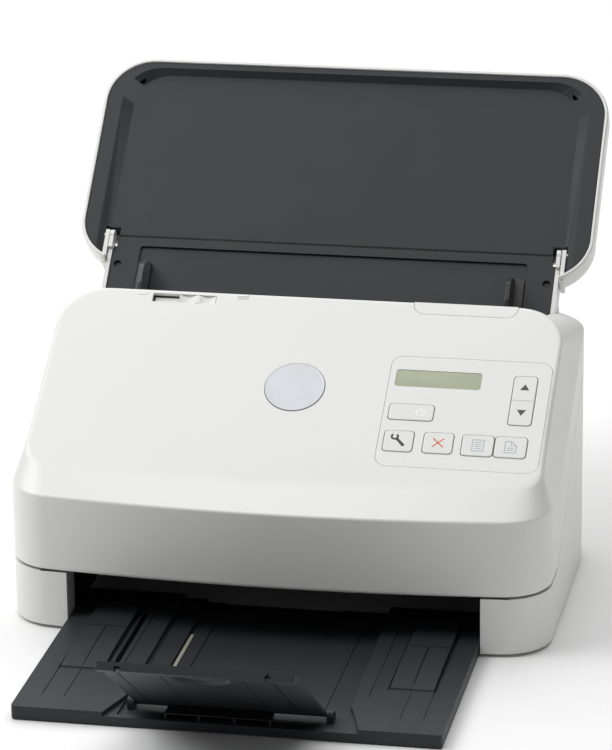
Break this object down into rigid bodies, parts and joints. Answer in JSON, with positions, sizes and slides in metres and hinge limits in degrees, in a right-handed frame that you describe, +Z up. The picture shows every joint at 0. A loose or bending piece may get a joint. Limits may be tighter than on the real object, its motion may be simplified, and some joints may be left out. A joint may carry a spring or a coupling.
{
  "type": "sheet fed document scanner",
  "caption": "Desktop sheet fed document scanner with a sloping front cover that opens, a folding input tray with paper guides and a sliding output tray with a flip up stop.",
  "frame": {"origin": "on the floor below the centre of the whole bounding box, trays open", "axes": "+X to the right seen from the front, +Y to the back, +Z up"},
  "size_m": [0.31, 0.4878, 0.2629],
  "materials": {
    "black_plastic": "satin",
    "button_plastic": "smooth satin",
    "circuit_board": "solder mask",
    "dark_plastic": "fine satin texture",
    "display": "gloss window",
    "emblem": "satin",
    "frame_plastic": "satin",
    "gear_plastic": "natural acetal",
    "glass": "clear",
    "panel_plastic": "smooth satin",
    "rubber": "matt",
    "steel": "brushed",
    "white_plastic": "fine satin texture"
  },
  "bodies": {
    "base": {"base_housing": "white_plastic", "foot_front_left": "rubber", "foot_front_right": "rubber", "foot_rear_left": "rubber", "foot_rear_right": "rubber", "rear_cap": "white_plastic", "rear_panel": "white_plastic", "main_board": "circuit_board", "usb_socket": "steel", "power_socket": "black_plastic", "side_frame_left": "frame_plastic", "side_frame_right": "frame_plastic", "lower_guide": "dark_plastic", "scan_module_lower": "black_plastic", "scan_glass_lower": "glass", "drive_motor": "steel", "hinge_finger_left": "steel", "hinge_finger_right": "steel", "arm_pin_left": "steel", "arm_pin_right": "steel"},
    "front_cover": {"cover_shell": "white_plastic", "cover_frame": "dark_plastic", "control_panel": "panel_plastic", "display": "display", "control_board": "circuit_board", "emblem_disc": "emblem", "scan_module_upper": "black_plastic", "scan_glass_upper": "glass"},
    "latch": {"cover_latch": "white_plastic"},
    "separation_slider": {"separation_switch": "button_plastic"},
    "button_power": {"button_power": "button_plastic"},
    "button_tools": {"button_tools": "button_plastic"},
    "button_cancel": {"button_cancel": "button_plastic"},
    "button_simplex": {"button_simplex": "button_plastic"},
    "button_duplex": {"button_duplex": "button_plastic"},
    "rocker_up_down": {"rocker_up_down": "button_plastic"},
    "separation_roll": {"separation_roller": "rubber"},
    "feed_pinch": {"feed_pinch_roller": "rubber"},
    "exit_pinch": {"exit_pinch_roller": "rubber"},
    "pick_roll": {"pick_roller": "rubber", "pick_gear": "gear_plastic"},
    "feed_roll": {"feed_roller": "rubber", "feed_gear": "gear_plastic"},
    "exit_roll": {"exit_roller": "rubber", "exit_gear": "gear_plastic"},
    "small_idler": {"small_idler_gear": "gear_plastic"},
    "large_idler": {"large_idler_gear": "gear_plastic"},
    "motor_rotor": {"motor_pinion": "gear_plastic"},
    "input_arm": {"arm_plate": "dark_plastic", "arm_shell": "white_plastic", "flap_pin_left": "steel", "flap_pin_right": "steel"},
    "guide_left": {"paper_guide_left": "black_plastic"},
    "guide_right": {"paper_guide_right": "black_plastic"},
    "guide_gear": {"guide_pinion": "gear_plastic"},
    "input_flap": {"flap_shell": "white_plastic", "flap_plate": "dark_plastic"},
    "output_slide": {"output_tray": "dark_plastic"},
    "stop_plate": {"paper_stop": "dark_plastic"}
  },
  "joints": [
    {"name": "cover_hinge", "type": "hinge", "parent": "base", "child": "front_cover", "pos_m": [0, -0.04419, 0.04], "axis": [1, 0, 0], "range_deg": [0, 55]},
    {"name": "latch_tilt", "type": "hinge", "parent": "front_cover", "child": "latch", "pos_m": [0.09, 0.07417, 0.15805], "axis": [1, 0, 0], "range_deg": [0, 9], "stiffness_Nm_per_rad": 0.02},
    {"name": "separation_slide", "type": "slide", "parent": "front_cover", "child": "separation_slider", "axis": [1, 0, 0], "range_m": [-0.0148, 0]},
    {"name": "button_power_press", "type": "slide", "parent": "front_cover", "child": "button_power", "axis": [0, 0.5373, -0.8434], "range_m": [0, 0.0006], "stiffness_N_per_m": 300},
    {"name": "button_tools_press", "type": "slide", "parent": "front_cover", "child": "button_tools", "axis": [0, 0.5373, -0.8434], "range_m": [0, 0.0006], "stiffness_N_per_m": 300},
    {"name": "button_cancel_press", "type": "slide", "parent": "front_cover", "child": "button_cancel", "axis": [0, 0.5373, -0.8434], "range_m": [0, 0.0006], "stiffness_N_per_m": 300},
    {"name": "button_simplex_press", "type": "slide", "parent": "front_cover", "child": "button_simplex", "axis": [0, 0.5373, -0.8434], "range_m": [0, 0.0006], "stiffness_N_per_m": 300},
    {"name": "button_duplex_press", "type": "slide", "parent": "front_cover", "child": "button_duplex", "axis": [0, 0.5373, -0.8434], "range_m": [0, 0.0006], "stiffness_N_per_m": 300},
    {"name": "rocker_tilt", "type": "hinge", "parent": "front_cover", "child": "rocker_up_down", "pos_m": [0.1312, 0.02383, 0.1242], "axis": [1, 0, 0], "range_deg": [-1.5, 1.5], "stiffness_Nm_per_rad": 0.05},
    {"name": "separation_spin", "type": "hinge", "parent": "front_cover", "child": "separation_roll", "pos_m": [0, 0.08013, 0.13104], "axis": [1, 0, 0], "continuous": true},
    {"name": "feed_pinch_spin", "type": "hinge", "parent": "front_cover", "child": "feed_pinch", "pos_m": [0, 0.053, 0.1073], "axis": [1, 0, 0], "continuous": true},
    {"name": "exit_pinch_spin", "type": "hinge", "parent": "front_cover", "child": "exit_pinch", "pos_m": [0, 0.01675, 0.07898], "axis": [1, 0, 0], "continuous": true},
    {"name": "feed_spin", "type": "hinge", "parent": "base", "child": "feed_roll", "pos_m": [0, 0.06309, 0.09437], "axis": [1, 0, 0], "continuous": true},
    {"name": "pick_spin", "type": "hinge", "parent": "base", "child": "pick_roll", "pos_m": [0, 0.09146, 0.11654], "axis": [1, 0, 0], "continuous": true},
    {"name": "exit_spin", "type": "hinge", "parent": "base", "child": "exit_roll", "pos_m": [0, 0.02685, 0.06605], "axis": [1, 0, 0], "continuous": true},
    {"name": "small_idler_spin", "type": "hinge", "parent": "base", "child": "small_idler", "pos_m": [0.1268, 0.07728, 0.10546], "axis": [1, 0, 0], "continuous": true},
    {"name": "large_idler_spin", "type": "hinge", "parent": "base", "child": "large_idler", "pos_m": [0.1268, 0.04497, 0.08021], "axis": [1, 0, 0], "continuous": true},
    {"name": "motor_spin", "type": "hinge", "parent": "base", "child": "motor_rotor", "pos_m": [0.1268, 0.05447, 0.06376], "axis": [1, 0, 0], "continuous": true},
    {"name": "arm_tilt", "type": "hinge", "parent": "base", "child": "input_arm", "pos_m": [0, 0.10951, 0.13066], "axis": [-1, 0, 0], "range_deg": [-18, 0]},
    {"name": "flap_fold", "type": "hinge", "parent": "input_arm", "child": "input_flap", "pos_m": [0, 0.14501, 0.1747], "axis": [-1, 0, 0], "range_deg": [-118, 0]},
    {"name": "guide_left_slide", "type": "slide", "parent": "input_arm", "child": "guide_left", "axis": [1, 0, 0], "range_m": [0, 0.08]},
    {"name": "guide_right_slide", "type": "slide", "parent": "input_arm", "child": "guide_right", "axis": [1, 0, 0], "range_m": [-0.08, 0]},
    {"name": "guide_pinion_spin", "type": "hinge", "parent": "input_arm", "child": "guide_gear", "pos_m": [0, 0.11981, 0.14381], "axis": [0, -0.682, 0.7314], "range_deg": [-921.7, 5]},
    {"name": "output_tray_slide", "type": "slide", "parent": "base", "child": "output_slide", "axis": [0, 1, 0], "range_m": [0, 0.119]},
    {"name": "stop_fold", "type": "hinge", "parent": "output_slide", "child": "stop_plate", "pos_m": [0, -0.15959, 0.008], "axis": [1, 0, 0], "range_deg": [-145, 0]}
  ],
  "couplings": [
    {"joint": "pick_spin", "follows": "feed_spin", "ratio": 1},
    {"joint": "exit_spin", "follows": "feed_spin", "ratio": 1},
    {"joint": "small_idler_spin", "follows": "feed_spin", "ratio": -1.25},
    {"joint": "large_idler_spin", "follows": "feed_spin", "ratio": -0.76923},
    {"joint": "motor_spin", "follows": "feed_spin", "ratio": 1.6667},
    {"joint": "guide_right_slide", "follows": "guide_left_slide", "ratio": -1},
    {"joint": "guide_pinion_spin", "follows": "guide_left_slide", "rad_per_m": -200}
  ]
}
